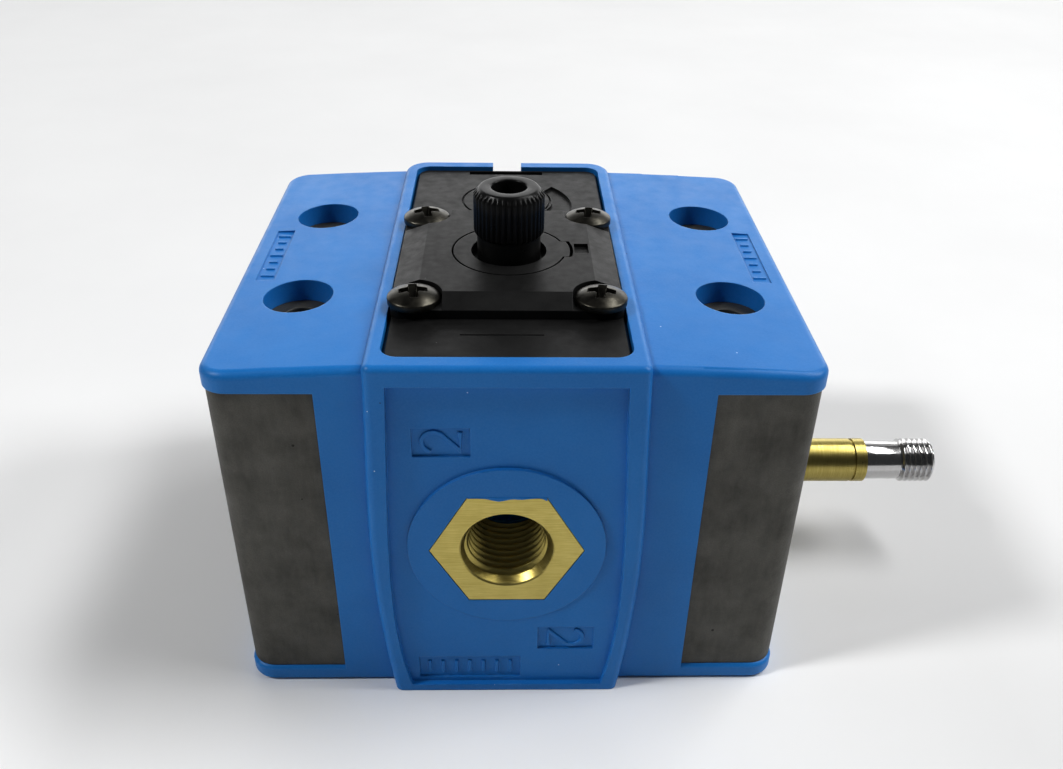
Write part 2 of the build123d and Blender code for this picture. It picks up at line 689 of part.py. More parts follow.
def armature_seal():
    seal_r, seal_end = ARMATURE_SEAL
    return bar_x(seal_r, NOZZLE_FACE_X, seal_end)


def armature_spring():
    wire = 0.25
    spring_floor = ARMATURE_BORE[1]
    height = POLE_FACE_X - spring_floor - 2 * wire
    path = Helix(pitch=height / 6.0, height=height, radius=1.9)
    coil = sweep(Plane(path @ 0, z_dir=path % 0) * Circle(wire), path=path, is_frenet=True)
    return Pos(spring_floor + wire, 0, TUBE_Z) * Rot(0, 90, 0) * coil


def pilot_nozzle():
    body = bar_x(NOZZLE_R, *NOZZLE_X) + cone_x(2.4, 0.9, NOZZLE_X[1], NOZZLE_FACE_X)
    return body - bar_x(0.5, NOZZLE_X[0] - 1, NOZZLE_FACE_X + 1)


PARTS = [
    housing, end_block_left, end_block_right, exhaust_seal,
    bottom_plug, plug_seal, plug_circlip, return_spring, seat_retainer,
    supply_poppet, supply_disc_seal, exhaust_poppet, exhaust_disc_seal,
    valve_stem, stem_guide, stem_seal, piston, piston_seal,
    pilot_gasket, pilot_base_plate, pilot_cover, index_disc, knob,
    needle_spindle, needle_seat, spindle_seal, cover_screws,
    armature_tube, tube_seal, pole_piece, armature, armature_seal,
    armature_spring, pilot_nozzle,
]

os.makedirs("parts", exist_ok=True)
for make in PARTS:
    save(make.__name__, make())
save("port_insert_front", port_insert(-1))
save("port_insert_rear", port_insert(1))
save("supply_seat", seat_ring(SUPPLY_SEAT))
save("exhaust_seat", seat_ring(EXHAUST_SEAT))
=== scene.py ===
"""Looks for a pilot-operated pneumatic poppet valve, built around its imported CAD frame."""

import math
import random

import bmesh
import bpy
from mathutils import Matrix, Vector


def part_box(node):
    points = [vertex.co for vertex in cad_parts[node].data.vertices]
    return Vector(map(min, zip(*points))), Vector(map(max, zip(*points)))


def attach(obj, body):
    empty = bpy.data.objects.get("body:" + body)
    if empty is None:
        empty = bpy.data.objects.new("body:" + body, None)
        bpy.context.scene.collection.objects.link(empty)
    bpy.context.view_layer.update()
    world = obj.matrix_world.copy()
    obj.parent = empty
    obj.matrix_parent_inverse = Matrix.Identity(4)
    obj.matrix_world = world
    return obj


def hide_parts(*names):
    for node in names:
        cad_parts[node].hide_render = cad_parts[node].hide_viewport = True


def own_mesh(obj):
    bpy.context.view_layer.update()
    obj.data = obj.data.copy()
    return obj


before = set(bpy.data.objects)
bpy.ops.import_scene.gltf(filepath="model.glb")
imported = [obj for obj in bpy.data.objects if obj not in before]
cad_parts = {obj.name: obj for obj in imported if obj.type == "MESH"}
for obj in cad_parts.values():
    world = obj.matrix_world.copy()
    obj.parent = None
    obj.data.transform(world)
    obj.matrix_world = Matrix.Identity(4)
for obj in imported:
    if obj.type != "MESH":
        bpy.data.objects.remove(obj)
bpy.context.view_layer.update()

MM = 0.001
BODY = "valve_body"


# ---- camera -------------------------------------------------------------------
CAMERA_PLACE = (-0.00134, -0.1487, 0.12972)
CAMERA_LENS = 33.86
CAMERA_PITCH = 0.5715
CAMERA_YAW = 0.0299
CAMERA_ROLL = 0.0185


def make_camera():
    """Camera at the main view's height, tilt and focal length."""
    data = bpy.data.cameras.new("camera")
    data.lens = CAMERA_LENS
    data.sensor_width = 36.0
    data.clip_start = 0.01
    data.clip_end = 20.0
    camera = bpy.data.objects.new("camera", data)
    cos_p, sin_p = math.cos(CAMERA_PITCH), math.sin(CAMERA_PITCH)
    cos_y, sin_y = math.cos(CAMERA_YAW), math.sin(CAMERA_YAW)
    cos_r, sin_r = math.cos(CAMERA_ROLL), math.sin(CAMERA_ROLL)
    forward = Vector((sin_y * cos_p, cos_y * cos_p, -sin_p))
    level = Vector((cos_y, -sin_y, 0.0))
    raised = level.cross(forward)
    right = cos_r * level + sin_r * raised
    up = cos_r * raised - sin_r * level
    turn = Matrix((right, up, -forward)).transposed().to_4x4()
    camera.matrix_world = Matrix.Translation(CAMERA_PLACE) @ turn
    bpy.context.scene.collection.objects.link(camera)
    bpy.context.scene.camera = camera


make_camera()


# ---- material nodes -----------------------------------------------------------
class Nodes:
    """Short calls for one material's node tree. Texture coordinates are in millimetres."""

    def __init__(self, name):
        self.material = bpy.data.materials.new(name)
        self.material.use_nodes = True
        self.tree = self.material.node_tree
        self.shader = self.tree.nodes["Principled BSDF"]
        self.object_place = self.add("TexCoord").outputs["Object"]

    def add(self, kind, inputs=None, **settings):
        node = self.tree.nodes.new("ShaderNode" + kind)
        for key, value in settings.items():
            setattr(node, key, value)
        for key, value in (inputs or {}).items():
            self.feed(node.inputs[key], value)
        return node

    def feed(self, socket, value):
        if isinstance(value, bpy.types.NodeSocket):
            self.tree.links.new(value, socket)
        else:
            socket.default_value = value

    def place(self, stretch=(1.0, 1.0, 1.0), turn=(0.0, 0.0, 0.0)):
        scale = tuple(1000.0 * s for s in stretch)
        node = self.add("Mapping", {"Vector": self.object_place, "Scale": scale, "Rotation": turn})
        return node.outputs[0]

    def noise(self, scale, detail=4.0, rough=0.55, stretch=(1.0, 1.0, 1.0), turn=(0.0, 0.0, 0.0)):
        where = self.place(stretch, turn)
        values = {"Vector": where, "Scale": scale, "Detail": detail, "Roughness": rough}
        return self.add("TexNoise", values).outputs["Fac"]

    def cells(self, scale):
        node = self.add("TexVoronoi", {"Vector": self.place(), "Scale": scale})
        return node.outputs["Distance"], node.outputs["Color"]

    def maths(self, operation, a, b=0.0):
        node = self.add("Math", operation=operation)
        self.feed(node.inputs[0], a)
        self.feed(node.inputs[1], b)
        return node.outputs[0]

    def span(self, value, low, high, to_low=0.0, to_high=1.0):
        values = {"Value": value, "From Min": low, "From Max": high}
        values.update({"To Min": to_low, "To Max": to_high})
        return self.add("MapRange", values).outputs[0]

    def mix(self, factor, a, b):
        node = self.add("Mix", data_type="RGBA")
        self.feed(node.inputs["Factor"], factor)
        colours = [s for s in node.inputs if s.type == "RGBA"]
        for socket, value in zip(colours, (a, b)):
            self.feed(socket, value)
        return next(s for s in node.outputs if s.type == "RGBA")

    def bump(self, height, depth_mm, normal=None):
        values = {"Height": height, "Distance": depth_mm * MM, "Strength": 1.0}
        if normal is not None:
            values["Normal"] = normal
        return self.add("Bump", values).outputs[0]

    def soft_edges(self, radius_mm):
        return self.add("Bevel", {"Radius": radius_mm * MM}, samples=6).outputs[0]

    def edge_mask(self, radius_mm, low, high):
        """One on convex and concave edges, nought on flat faces."""
        rounded = self.add("Bevel", {"Radius": radius_mm * MM}, samples=6).outputs[0]
        true = self.add("NewGeometry").outputs["Normal"]
        dot = self.add("VectorMath", {0: rounded, 1: true}, operation="DOT_PRODUCT")
        return self.span(self.maths("SUBTRACT", 1.0, dot.outputs["Value"]), low, high)

    def specks(self, per_mm, radius, share):
        """Sparse round dots: cells of 1/per_mm, dots of that radius in cell units."""
        distance, colour = self.cells(per_mm)
        dot = self.maths("LESS_THAN", distance, radius)
        chosen = self.add("SeparateColor", {"Color": colour}).outputs["Red"]
        return self.maths("MULTIPLY", dot, self.maths("LESS_THAN", chosen, share))

    def finish(self, **inputs):
        for key, value in inputs.items():
            self.feed(self.shader.inputs[key.replace("_", " ")], value)
        return self.material


def grey(level):
    return (level, level, level, 1.0)


def rgb(red, green, blue):
    return (red, green, blue, 1.0)


# ---- materials ----------------------------------------------------------------
def blue_plastic():
    n = Nodes("blue_plastic")
    cloud = n.span(n.noise(0.06, 3), 0.35, 0.65)
    base = n.mix(cloud, rgb(0.007, 0.165, 0.480), rgb(0.010, 0.185, 0.520))
    grain = n.span(n.noise(3.2, 2), 0.3, 0.7)
    base = n.mix(n.maths("MULTIPLY", grain, 0.10), base, rgb(0.10, 0.32, 0.68))
    # Painted highlight: lighter blue mixed in patches along the edges, where rounded edges catch
    # light.
    painted_edge_highlight = n.maths("MULTIPLY", n.edge_mask(0.45, 0.02, 0.22), n.span(n.noise(0.5, 4), 0.45, 0.75))
    base = n.mix(n.maths("MULTIPLY", painted_edge_highlight, 0.35), base, rgb(0.18, 0.42, 0.76))
    base = n.mix(n.specks(0.30, 0.030, 0.20), base, rgb(0.55, 0.66, 0.78))
    base = n.mix(n.specks(0.22, 0.022, 0.10), base, rgb(0.012, 0.05, 0.13))
    peel = n.bump(n.noise(0.9, 2), 0.012, n.soft_edges(0.22))
    fine = n.bump(n.noise(4.5, 3), 0.006, peel)
    rough = n.span(n.noise(0.35, 5), 0.3, 0.7, 0.34, 0.47)
    return n.finish(Base_Color=base, Roughness=rough, Normal=fine, Specular_IOR_Level=0.30)


def block_metal():
    n = Nodes("block_metal")
    cloud = n.span(n.noise(0.16, 6, 0.62), 0.34, 0.68)
    base = n.mix(cloud, rgb(0.060, 0.058, 0.051), rgb(0.104, 0.101, 0.090))
    streak = n.span(n.noise(0.9, 4, 0.6, (1.0, 1.0, 0.25)), 0.35, 0.7)
    base = n.mix(n.maths("MULTIPLY", streak, 0.35), base, rgb(0.135, 0.130, 0.112))
    grain = n.span(n.noise(5.0, 3), 0.35, 0.65)
    base = n.mix(n.maths("MULTIPLY", grain, 0.30), base, rgb(0.038, 0.036, 0.030))
    base = n.mix(n.specks(0.32, 0.075, 0.22), base, rgb(0.016, 0.015, 0.013))
    base = n.mix(n.specks(0.20, 0.030, 0.16), base, rgb(0.32, 0.30, 0.26))
    pits = n.bump(n.noise(2.2, 5, 0.65), 0.045, n.soft_edges(0.35))
    rough = n.span(cloud, 0.0, 1.0, 0.58, 0.44)
    return n.finish(Base_Color=base, Metallic=0.45, Roughness=rough, Normal=pits)


def port_brass():
    n = Nodes("port_brass")
    lines = n.noise(1.0, 6, 0.7, (0.25, 1.0, 9.0), (0.0, 0.05, 0.0))
    base = n.mix(n.span(lines, 0.35, 0.65), rgb(0.42, 0.34, 0.10), rgb(0.58, 0.49, 0.18))
    stain = n.span(n.noise(0.35, 4), 0.42, 0.72)
    base = n.mix(n.maths("MULTIPLY", stain, 0.35), base, rgb(0.36, 0.29, 0.08))
    normal = n.bump(lines, 0.010, n.soft_edges(0.06))
    rough = n.span(lines, 0.3, 0.7, 0.30, 0.44)
    return n.finish(Base_Color=base, Metallic=1.0, Roughness=rough, Normal=normal)


def satin_black(name, tone, rough_low, rough_high, grain_depth, edge_sheen_share):
    """Moulded glass-filled black plastic with a fine grain and a painted highlight of lighter grey
    along its edges.
    """
    n = Nodes(name)
    cloud = n.span(n.noise(0.18, 5), 0.35, 0.7)
    base = n.mix(cloud, grey(tone), grey(tone * 1.7))
    grain = n.span(n.noise(6.0, 3), 0.45, 0.8)
    base = n.mix(n.maths("MULTIPLY", grain, 0.4), base, grey(tone * 2.6))
    # Painted highlight: lighter grey laid in patches along the edges, scaled by the last argument.
    painted_edge_sheen = n.maths("MULTIPLY", n.edge_mask(0.16, 0.03, 0.3), n.span(n.noise(0.8, 4), 0.4, 0.7))
    base = n.mix(n.maths("MULTIPLY", painted_edge_sheen, edge_sheen_share), base, grey(0.10))
    base = n.mix(n.specks(0.45, 0.045, 0.10), base, grey(0.20))
    normal = n.bump(n.noise(5.0, 3), grain_depth, n.soft_edges(0.12))
    rough = n.span(n.noise(0.6, 5), 0.3, 0.7, rough_low, rough_high)
    return n.finish(Base_Color=base, Roughness=rough, Normal=normal, Specular_IOR_Level=0.18)


def black_nickel():
    n = Nodes("black_nickel")
    cloud = n.span(n.noise(0.55, 5), 0.35, 0.7)
    base = n.mix(cloud, rgb(0.038, 0.036, 0.030), rgb(0.082, 0.077, 0.064))
    normal = n.bump(n.noise(1.6, 4, 0.6), 0.004, n.soft_edges(0.08))
    rough = n.span(n.noise(1.3, 4), 0.3, 0.7, 0.28, 0.42)
    return n.finish(Base_Color=base, Metallic=1.0, Roughness=rough, Normal=normal)


def turned(name, dark, light, rough_low, rough_high, line_depth, along="X"):
    """Metal turned or drawn about one axis: fine rings across it."""
    n = Nodes(name)
    stretch = {"X": (9.0, 0.3, 0.3), "Z": (0.3, 0.3, 9.0)}[along]
    rings = n.noise(1.0, 5, 0.65, stretch)
    base = n.mix(n.span(rings, 0.35, 0.65), dark, light)
    stain = n.span(n.noise(0.3, 4), 0.45, 0.7)
    base = n.mix(n.maths("MULTIPLY", stain, 0.2), base, dark)
    rough = n.span(n.noise(0.7, 4), 0.3, 0.7, rough_low, rough_high)
    normal = n.bump(rings, line_depth)
    return n.finish(Base_Color=base, Metallic=1.0, Roughness=rough, Normal=normal)


def seal_rubber():
    n = Nodes("seal_rubber")
    base = n.mix(n.span(n.noise(0.8, 4), 0.35, 0.65), grey(0.012), grey(0.026))
    rough = n.span(n.noise(1.5, 3), 0.3, 0.7, 0.5, 0.7)
    return n.finish(Base_Color=base, Roughness=rough, Normal=n.bump(n.noise(6.0, 2), 0.008))


LOOKS = {
    "blue_plastic": blue_plastic(),
    "block_metal": block_metal(),
    "port_brass": port_brass(),
    "seal_rubber": seal_rubber(),
    "pilot_plastic": satin_black("pilot_plastic", 0.008, 0.36, 0.50, 0.008, 0.35),
    "black_plastic": satin_black("black_plastic", 0.014, 0.40, 0.55, 0.008, 0.2),
    "knob_plastic": satin_black("knob_plastic", 0.004, 0.26, 0.38, 0.004, 0.8),
    "black_nickel": black_nickel(),
    "tube_brass": turned(
        "tube_brass", rgb(0.34, 0.275, 0.080), rgb(0.49, 0.415, 0.155), 0.27, 0.36, 0.0025
    ),
    "pole_chrome": turned(
        "pole_chrome", rgb(0.50, 0.49, 0.48), rgb(0.60, 0.60, 0.61), 0.10, 0.18, 0.0012
    ),
    "stainless_steel": turned(
        "stainless_steel", rgb(0.50, 0.49, 0.47), rgb(0.62, 0.61, 0.59), 0.20, 0.32, 0.002
    ),
    "turned_brass": turned(
        "turned_brass", rgb(0.56, 0.44, 0.17), rgb(0.74, 0.61, 0.28), 0.22, 0.34, 0.002, "Z"
    ),
    "spring_steel": turned(
        "spring_steel", rgb(0.40, 0.39, 0.37), rgb(0.52, 0.51, 0.49), 0.25, 0.38, 0.001, "Z"
    ),
}

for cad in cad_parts.values():
    names = [m.name.split(".")[0] for m in cad.data.materials]
    for index, name in enumerate(names):
        cad.material_slots[index].material = LOOKS[name]


# ---- mesh helpers -------------------------------------------------------------
def piece(name, bm, slot, smooth_angle=35.0, body=BODY):
    """One object from a bmesh in millimetres, riding on a body with its material slot."""
    bmesh.ops.recalc_face_normals(bm, faces=bm.faces)
    bmesh.ops.scale(bm, vec=(MM, MM, MM), verts=bm.verts)
    mesh = bpy.data.meshes.new(name)
    bm.to_mesh(mesh)
    bm.free()
    mesh.shade_smooth()
    mesh.set_sharp_from_angle(angle=math.radians(smooth_angle))
    mesh.materials.append(LOOKS[slot])
    thing = bpy.data.objects.new(name, mesh)
    bpy.context.scene.collection.objects.link(thing)
    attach(thing, body)
    return thing


def ring_of(bm, points):
    return [bm.verts.new(p) for p in points]


def bridge(bm, lower, upper):
    """Quads between two closed rings of the same length."""
    count = len(lower)
    for i in range(count):
        j = (i + 1) % count
        bm.faces.new((lower[i], lower[j], upper[j], upper[i]))


def turn_profile(bm, profile, steps, point):
    """Closed surface of revolution: point(radius, station, angle) gives each place."""
    rings = []
    for radius, station in profile:
        angles = [2 * math.pi * i / steps for i in range(steps)]
        rings.append(ring_of(bm, [point(radius, station, a) for a in angles]))
    for lower, upper in zip(rings, rings[1:]):
        bridge(bm, lower, upper)
    return rings


# ---- brass port inserts -------------------------------------------------------
PORT_CENTRE = (-1.2, 29.1)
HEX_FLATS = 20.0
THREAD_PITCH = 1.337
THREAD_MINOR = 5.72
THREAD_MAJOR = 6.55
MOUTH_R = 6.98
INSERT_LENGTH = 13.0
INSERT_STEPS = 144
INSERT_STEPS_PER_PITCH = 16
HEX_BEVEL = 0.14


def hex_radius(angle, flats):
    """Distance from the centre to a hexagon with corners at left and right."""
    sector = math.radians(60)
    off = (angle + sector / 2 - math.radians(30)) % sector - sector / 2
    return flats / 2 / math.cos(off)


def thread_radius(depth, angle):
    """Whitworth-like rounded internal thread with a coned lead-in."""
    turn = (depth / THREAD_PITCH - angle / (2 * math.pi)) % 1.0
    ramp = abs(2 * turn - 1)
    ease = ramp * ramp * (3 - 2 * ramp)
    wave = 0.45 * ramp + 0.55 * ease
    radius = THREAD_MAJOR + (THREAD_MINOR - THREAD_MAJOR) * wave
    lead = MOUTH_R - 0.10 - 0.55 * max(depth - 0.1, 0.0)
    return max(radius, lead)


def port_insert(name, node, facing):
    """Hexagonal brass insert with its real helical thread."""
    low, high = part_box(node)
    face = (low.y if facing < 0 else high.y) / MM
    bm = bmesh.new()
    angles = [2 * math.pi * i / INSERT_STEPS for i in range(INSERT_STEPS)]

    def ring(radius_of, depth):
        places = []
        for angle in angles:
            radius = radius_of(angle)
            x = PORT_CENTRE[0] + radius * math.cos(angle)
            z = PORT_CENTRE[1] + radius * math.sin(angle)
            places.append((x, face - facing * depth, z))
        return ring_of(bm, places)

    rings = [ring(lambda a: hex_radius(a, HEX_FLATS), INSERT_LENGTH)]
    rings.append(ring(lambda a: hex_radius(a, HEX_FLATS), HEX_BEVEL))
    rings.append(ring(lambda a: hex_radius(a, HEX_FLATS - 2 * HEX_BEVEL), 0.0))
    rings.append(ring(lambda a: MOUTH_R + 0.06, 0.0))
    rings.append(ring(lambda a: MOUTH_R - 0.02, 0.08))
    count = int(INSERT_LENGTH / THREAD_PITCH * INSERT_STEPS_PER_PITCH)
    for step in range(1, count):
        depth = 0.08 + (INSERT_LENGTH - 0.08) * step / count
        rings.append(ring(lambda a, d=depth: thread_radius(d, a), depth))
    rings.append(ring(lambda a: THREAD_MAJOR, INSERT_LENGTH))
    for outer, inner in zip(rings, rings[1:]):
        bridge(bm, outer, inner)
    bridge(bm, rings[-1], rings[0])
    thing = piece(name, bm, "port_brass", 40.0)
    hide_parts(node)


port_insert("port_insert_front_threaded", "port_insert_front", -1)
port_insert("port_insert_rear_threaded", "port_insert_rear", 1)


# ---- pole piece with its M8 x 1 thread ----------------------------------------
POLE_STEPS = 96
POLE_FACE = 54.0
POLE_TUBE_END = 65.0
POLE_THREAD = 71.6
POLE_END = 77.7
POLE_THREAD_STEPS = 88
POLE_MAJOR = 3.99
POLE_MINOR = 3.42
POLE_FIT_R = 3.38          # inside the armature tube
POLE_NECK_R = 3.55


def pole_radius(station, angle):
    """Rounded-crest external thread that starts and ends in chamfers."""
    turn = (station - POLE_THREAD - angle / (2 * math.pi)) % 1.0
    ramp = abs(2 * turn - 1)
    crest = min(max(1.35 * ramp - 0.12, 0.0), 1.0)
    radius = POLE_MINOR + (POLE_MAJOR - POLE_MINOR) * crest
    start = 3.50 + 1.6 * max(station - POLE_THREAD, 0.0)
    end = 3.42 + 1.2 * max(POLE_END - 0.1 - station, 0.0)
    return min(radius, max(start, POLE_MINOR), max(end, 3.3))


def pole_piece():
    low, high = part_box("pole_piece")
    centre_y = (low.y + high.y) / 2 / MM
    centre_z = (low.z + high.z) / 2 / MM

    def point(radius, station, angle):
        y = centre_y + radius * math.cos(angle)
        return (station, y, centre_z + radius * math.sin(angle))

    bm = bmesh.new()
    plain = [(0.35, POLE_FACE), (POLE_FIT_R - 0.08, POLE_FACE), (POLE_FIT_R, POLE_FACE + 0.1)]
    plain += [(POLE_FIT_R, POLE_TUBE_END + 0.02), (POLE_FIT_R + 0.06, POLE_TUBE_END + 0.02)]
    plain += [(POLE_NECK_R, POLE_TUBE_END + 0.14), (POLE_NECK_R, POLE_THREAD - 0.35)]
    plain += [(POLE_NECK_R - 0.05, POLE_THREAD - 0.2), (POLE_NECK_R - 0.09, POLE_THREAD)]
    rings = turn_profile(bm, plain, POLE_STEPS, point)
    angles = [2 * math.pi * i / POLE_STEPS for i in range(POLE_STEPS)]
    threaded = POLE_END - 0.15 - POLE_THREAD
    for step in range(1, POLE_THREAD_STEPS + 1):
        station = POLE_THREAD + threaded * step / POLE_THREAD_STEPS
        places = [point(pole_radius(station, a), station, a) for a in angles]
        rings.append(ring_of(bm, places))
        bridge(bm, rings[-2], rings[-1])
    end = [(3.2, POLE_END), (1.3, POLE_END), (1.2, POLE_END - 0.1)]
    end += [(0.9, POLE_END - 0.9), (0.35, POLE_END - 1.3)]  # centre drilling
    tail = turn_profile(bm, end, POLE_STEPS, point)
    bridge(bm, rings[-1], tail[0])
    bridge(bm, tail[-1], rings[0])
    thing = piece("pole_piece_threaded", bm, "pole_chrome", 38.0)
    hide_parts("pole_piece")


pole_piece()


# ---- knurled throttle knob ----------------------------------------------------
KNOB_BORE_R = 2.05
KNOB_COLLAR_R = 6.5
KNOB_NECK_R = 4.90
KNOB_R = 5.40
KNOB_SOCKET_R = 2.65
KNOB_SOCKET_FLOOR = 69.0
KNOB_TEETH = 38
KNOB_STEPS_PER_TOOTH = 10
KNURL_DEPTH = 0.30


def knurl(angle, amount):
    """Depth of the straight knurl at an angle: rounded lands, narrower grooves."""
    turn = (angle * KNOB_TEETH / (2 * math.pi)) % 1.0
    wave = 0.5 + 0.5 * math.cos(2 * math.pi * turn)
    return amount * KNURL_DEPTH * wave**1.6


def knob():
    low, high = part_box("knob")
    centre_x = (low.x + high.x) / 2 / MM
    centre_y = (low.y + high.y) / 2 / MM
    top = high.z / MM
    foot = low.z / MM
    # radius, height, share of the knurl's depth
    profile = [
        (KNOB_BORE_R, foot, 0.0),
        (KNOB_COLLAR_R - 0.15, foot, 0.0),
        (KNOB_COLLAR_R, foot + 0.15, 0.0),
        (KNOB_COLLAR_R, foot + 1.25, 0.0),
        (KNOB_COLLAR_R - 0.15, foot + 1.4, 0.0),
        (KNOB_NECK_R + 0.02, foot + 1.4, 0.0),
        (KNOB_NECK_R, foot + 1.6, 0.0),
        (KNOB_NECK_R, top - 7.42, 0.0),
        (5.02, top - 7.34, 0.1),
        (5.22, top - 7.14, 0.5),
        (5.36, top - 6.92, 0.9),
        (KNOB_R, top - 6.70, 1.0),
        (KNOB_R, top - 5.0, 1.0),
        (KNOB_R, top - 3.0, 1.0),
        (KNOB_R, top - 1.18, 1.0),
        (5.33, top - 1.02, 1.0),
        (5.16, top - 0.80, 0.85),
        (4.98, top - 0.60, 0.45),
        (4.80, top - 0.41, 0.1),
        (4.62, top - 0.22, 0.0),
        (4.50, top - 0.08, 0.0),
        (4.36, top - 0.02, 0.0),
        (4.20, top, 0.0),
        (3.05, top, 0.0),
        (2.90, top - 0.02, 0.0),
        (2.80, top - 0.04, 0.0),
        (2.70, top - 0.14, 0.0),
        (KNOB_SOCKET_R, top - 0.3, 0.0),
        (KNOB_SOCKET_R, KNOB_SOCKET_FLOOR + 0.1, 0.0),
        (KNOB_SOCKET_R - 0.1, KNOB_SOCKET_FLOOR, 0.0),
        (KNOB_BORE_R, KNOB_SOCKET_FLOOR, 0.0),
    ]
    steps = KNOB_TEETH * KNOB_STEPS_PER_TOOTH
    bm = bmesh.new()
    rings = []
    for radius, height, share in profile:
        places = []
        for i in range(steps):
            angle = 2 * math.pi * i / steps
            reach = radius - knurl(angle, share)
            x = centre_x + reach * math.cos(angle)
            places.append((x, centre_y + reach * math.sin(angle), height))
        rings.append(ring_of(bm, places))
    for lower, upper in zip(rings, rings[1:]):
        bridge(bm, lower, upper)
    bridge(bm, rings[-1], rings[0])
    thing = piece("knob_knurled", bm, "knob_plastic", 32.0, "knob")
    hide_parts("knob")


knob()


# ---- cross-recessed domed screws ----------------------------------------------
SCREW_PLACES = ((-14.7, -21.1), (12.3, -21.1), (-14.7, 7.5), (12.3, 7.5))
SCREW_TURNS = (8.0, -10.0, 12.0, -6.0)
SCREW_STEPS = 80
HEAD_R = 3.8
HEAD_H = 2.1
RIM_H = 0.95
RECESS_HALF_WIDTH = 0.72
RECESS_REACH = 2.3
RECESS_DEPTH = 1.75


def screw_body(bm, x, y, head_base, tip):
    """Lathed domed head on its shank."""

    def point(radius, station, angle):
        return (x + radius * math.cos(angle), y + radius * math.sin(angle), station)

    profile = [(0.02, tip), (1.6, tip), (2.0, tip + 0.5), (2.0, head_base)]
    profile += [(HEAD_R - 0.12, head_base), (HEAD_R, head_base + 0.1)]
    profile += [(HEAD_R, head_base + RIM_H - 0.12), (HEAD_R - 0.05, head_base + RIM_H)]
    edge = HEAD_R - 0.12
    rise = HEAD_H - RIM_H - 0.08
    dome = (edge * edge + rise * rise) / (2 * rise)
    for share in (1.0, 0.94, 0.86, 0.76, 0.64, 0.5, 0.36, 0.2, 0.005):
        radius = edge * share
        drop = dome - math.sqrt(dome * dome - radius * radius)
        profile.append((radius, head_base + HEAD_H - drop))
    rings = turn_profile(bm, profile, SCREW_STEPS, point)
    bm.faces.new(rings[-1])
    bm.faces.new(list(reversed(rings[0])))


def recess_cutter(x, y, top, turn):
    """Tapered cross with a conical centre, as the driver leaves it."""
    bm = bmesh.new()
    cos_t, sin_t = math.cos(math.radians(turn)), math.sin(math.radians(turn))

    def outline(scale_reach, scale_width, height):
        corner = RECESS_HALF_WIDTH * scale_width
        far = RECESS_REACH * scale_reach
        inner = corner * 1.35
        shape = []
        for quarter in range(4):
            c, s = math.cos(quarter * math.pi / 2), math.sin(quarter * math.pi / 2)
            for u, v in ((inner, -corner), (far, -corner), (far, corner), (inner, corner)):
                shape.append((u * c - v * s, u * s + v * c))
        return [
            (x + u * cos_t - v * sin_t, y + u * sin_t + v * cos_t, height) for u, v in shape
        ]

    upper = ring_of(bm, outline(1.0, 1.0, top + 0.6))
    middle = ring_of(bm, outline(0.92, 0.88, top - 0.30))
    lower = ring_of(bm, outline(0.36, 0.55, top - RECESS_DEPTH))
    bridge(bm, lower, middle)
    bridge(bm, middle, upper)
    bm.faces.new(upper)
    bm.faces.new(list(reversed(lower)))
    bmesh.ops.recalc_face_normals(bm, faces=bm.faces)
    mesh = bpy.data.meshes.new("recess_cutter")
    bm.to_mesh(mesh)
    bm.free()
    cutter = bpy.data.objects.new("recess_cutter", mesh)
    bpy.context.scene.collection.objects.link(cutter)
    return cutter


def cut(thing, cutter):
    """Subtracts a cutter from a piece's mesh and removes the cutter."""
    modifier = thing.modifiers.new("recess", "BOOLEAN")
    modifier.operation = "DIFFERENCE"
    modifier.solver = "EXACT"
    modifier.object = cutter
    bpy.context.view_layer.update()
    evaluated = thing.evaluated_get(bpy.context.evaluated_depsgraph_get())
    mesh = bpy.data.meshes.new_from_object(evaluated)
    thing.modifiers.clear()
    old = thing.data
    thing.data = mesh
    bpy.data.meshes.remove(old)
    bpy.data.objects.remove(cutter)


def cover_screws():
    low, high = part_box("cover_screws")
    top = high.z / MM
    for number, ((x, y), turn) in enumerate(zip(SCREW_PLACES, SCREW_TURNS), 1):
        bm = bmesh.new()
        screw_body(bm, x, y, top - HEAD_H, low.z / MM)
        cutter = recess_cutter(x, y, top, turn)
        cutter.data.transform(Matrix.Scale(MM, 4))
        thing = piece(f"cover_screw_{number}", bm, "black_nickel", 30.0)
        cut(thing, cutter)
        thing.data.set_sharp_from_angle(angle=math.radians(30.0))
        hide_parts("cover_screws")


cover_screws()


# ---- compression springs -------------------------------------------------------
COIL_STEPS = 40
WIRE_STEPS = 14
CLOSED_TURN = 0.62


def coil_rise(turn, turns, wire, length):
    """Height of the wire's centre: closed turns at both ends, open ones between."""
    shut = 2 * wire * CLOSED_TURN
    open_pitch = (length - 2 * wire - 2 * shut) / (turns - 2)
    if turn < 1:
        return wire + shut * turn
    if turn > turns - 1:
        return wire + shut + open_pitch * (turns - 2) + shut * (turn - turns + 1)
    return wire + shut + open_pitch * (turn - 1)


